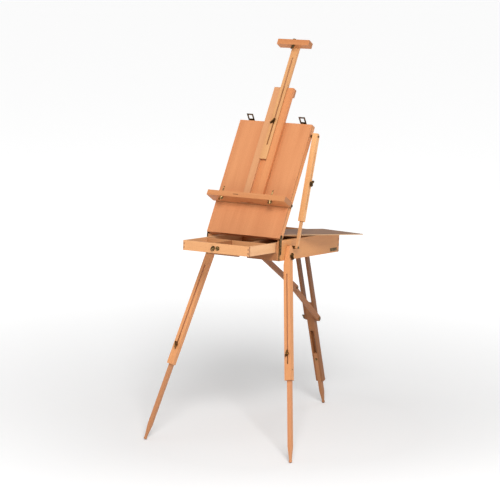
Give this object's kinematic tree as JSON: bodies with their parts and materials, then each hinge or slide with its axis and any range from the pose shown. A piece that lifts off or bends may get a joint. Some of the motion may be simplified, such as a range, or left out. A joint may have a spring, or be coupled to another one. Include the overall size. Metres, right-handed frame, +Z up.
{
  "type": "sketch box easel",
  "caption": "Wooden sketch-box easel: tilting lid with sliding masts and canvas ledge, drawer, loose palette, folding telescopic legs.",
  "frame": {"origin": "on the floor under the middle of the standing easel", "axes": "+Z up, -Y towards the painter, +X to the painter right"},
  "size_m": [0.7572, 0.9937, 1.7524],
  "materials": {
    "beech": "satin oiled beech",
    "panel": "satin beech plywood",
    "palette_ply": "oiled brown plywood",
    "bronze": "dark bronzed brass"
  },
  "bodies": {
    "box": {"box_sides": "beech", "box_back": "beech", "box_front_rail": "beech", "box_floor": "panel", "drawer_runners": "beech", "lid_brackets": "bronze", "under_blocks": "beech", "under_pins": "bronze", "arm_stud": "bronze", "latch_catches": "bronze", "blank_plate": "bronze", "leg_bolts": "bronze"},
    "drawer": {"drawer_front": "beech", "drawer_sides": "beech", "drawer_back": "beech", "drawer_bottom": "panel", "drawer_dividers": "beech", "drawer_catch_plates": "bronze"},
    "drawer_ring": {"drawer_ring": "bronze"},
    "lid": {"lid_panel": "panel", "lid_sides": "beech", "lid_bottom_rail": "beech", "lid_top_rail": "beech", "lid_pivot_pins": "bronze", "arm_bolts": "bronze", "mast_clamp": "bronze", "hasp_hinges": "bronze"},
    "hasp_left": {"hasp_left": "bronze"},
    "hasp_right": {"hasp_right": "bronze"},
    "lower_mast": {"lower_mast": "beech", "mast_stop_block": "beech", "ledge": "beech", "ledge_bolts": "bronze", "ledge_guides": "bronze"},
    "upper_mast": {"upper_mast": "beech", "top_clamp": "beech", "clamp_bolt": "bronze"},
    "side_arm": {"side_arm": "beech"},
    "side_strut": {"side_strut": "beech", "strut_bolts": "bronze"},
    "palette": {"palette": "palette_ply"},
    "leg_left": {"front_leg_left": "beech"},
    "foot_left": {"front_foot_left": "beech", "foot_clamp_left": "bronze"},
    "leg_right": {"front_leg_right": "beech"},
    "foot_right": {"front_foot_right": "beech", "foot_clamp_right": "bronze"},
    "rear_fork": {"fork_bars": "beech", "fork_bolt": "bronze"},
    "rear_leg": {"rear_leg": "beech"},
    "rear_foot": {"rear_foot": "beech", "rear_foot_clamp": "bronze"},
    "brace_upper": {"brace_upper": "beech"},
    "brace_lower": {"brace_lower": "beech", "brace_pins": "bronze"}
  },
  "joints": [
    {"name": "drawer_slide", "type": "slide", "parent": "box", "child": "drawer", "axis": [0, -0.997, 0.0771], "range_m": [-0.2297, 0.15]},
    {"name": "drawer_ring_hinge", "type": "hinge", "parent": "drawer", "child": "drawer_ring", "pos_m": [-0.013, -0.49346, 0.90304], "axis": [1, 0, 0], "range_deg": [-90, 0]},
    {"name": "lid_hinge", "type": "hinge", "parent": "box", "child": "lid", "pos_m": [0, -0.24164, 0.92736], "axis": [1, 0, 0], "range_deg": [-62.44, 0]},
    {"name": "hasp_left_hinge", "type": "hinge", "parent": "lid", "child": "hasp_left", "pos_m": [-0.133, 0.04706, 1.3869], "axis": [1, 0, 0], "range_deg": [-152, 0]},
    {"name": "hasp_right_hinge", "type": "hinge", "parent": "lid", "child": "hasp_right", "pos_m": [0.133, 0.04706, 1.3869], "axis": [1, 0, 0], "range_deg": [-152, 0]},
    {"name": "lower_mast_slide", "type": "slide", "parent": "lid", "child": "lower_mast", "axis": [0, 0.5296, 0.8482], "range_m": [-0.125, 0.08]},
    {"name": "upper_mast_slide", "type": "slide", "parent": "lower_mast", "child": "upper_mast", "axis": [0, 0.5296, 0.8482], "range_m": [-0.175, 0.03]},
    {"name": "side_arm_hinge", "type": "hinge", "parent": "lid", "child": "side_arm", "pos_m": [0.209, 0.02074, 1.34097], "axis": [1, 0, 0], "range_deg": [-5.72, 0]},
    {"name": "side_arm_slide", "type": "slide", "parent": "side_arm", "child": "side_strut", "axis": [0, 0.3328, 0.943], "range_m": [0, 0.1083]},
    {"name": "palette_slide", "type": "slide", "parent": "box", "child": "palette", "axis": [0.4098, 0.9095, -0.0703], "range_m": [0, 0.62]},
    {"name": "leg_left_hinge", "type": "hinge", "parent": "box", "child": "leg_left", "pos_m": [-0.1941, -0.19852, 0.83897], "axis": [-1, 0, 0], "range_deg": [-104.9, 0]},
    {"name": "foot_left_slide", "type": "slide", "parent": "leg_left", "child": "foot_left", "axis": [-0.1971, -0.3243, -0.9252], "range_m": [-0.345, 0.016]},
    {"name": "leg_right_hinge", "type": "hinge", "parent": "box", "child": "leg_right", "pos_m": [0.1941, -0.19852, 0.83897], "axis": [-1, 0, 0], "range_deg": [-104.9, 0]},
    {"name": "foot_right_slide", "type": "slide", "parent": "leg_right", "child": "foot_right", "axis": [0.1971, -0.3243, -0.9252], "range_m": [-0.345, 0.04]},
    {"name": "fork_hinge", "type": "hinge", "parent": "box", "child": "rear_fork", "pos_m": [0, 0.26299, 0.79929], "axis": [1, 0, 0], "range_deg": [-110.74, 0]},
    {"name": "rear_leg_hinge", "type": "hinge", "parent": "rear_fork", "child": "rear_leg", "pos_m": [0, 0.36908, 0.437], "axis": [1, 0, 0], "range_deg": [0, 150]},
    {"name": "rear_foot_slide", "type": "slide", "parent": "rear_leg", "child": "rear_foot", "axis": [0, 0.281, -0.9597], "range_m": [-0.118, 0.09]},
    {"name": "brace_upper_hinge", "type": "hinge", "parent": "box", "child": "brace_upper", "pos_m": [0.04, -0.19664, 0.83481], "axis": [1, 0, 0], "range_deg": [0, 28.19]},
    {"name": "brace_knee", "type": "hinge", "parent": "brace_upper", "child": "brace_lower", "pos_m": [0.036, 0.13056, 0.62629], "axis": [1, 0, 0], "range_deg": [-174.17, 0]}
  ],
  "couplings": [
    {"joint": "side_arm_hinge", "follows": "lid_hinge", "ratio": 0.090002},
    {"joint": "side_arm_slide", "follows": "lid_hinge", "m_per_rad": -0.09896},
    {"joint": "palette_slide", "follows": "lid_hinge", "m_per_rad": -0.55},
    {"joint": "brace_upper_hinge", "follows": "fork_hinge", "ratio": -0.25364},
    {"joint": "brace_knee", "follows": "fork_hinge", "ratio": 1.5719}
  ]
}
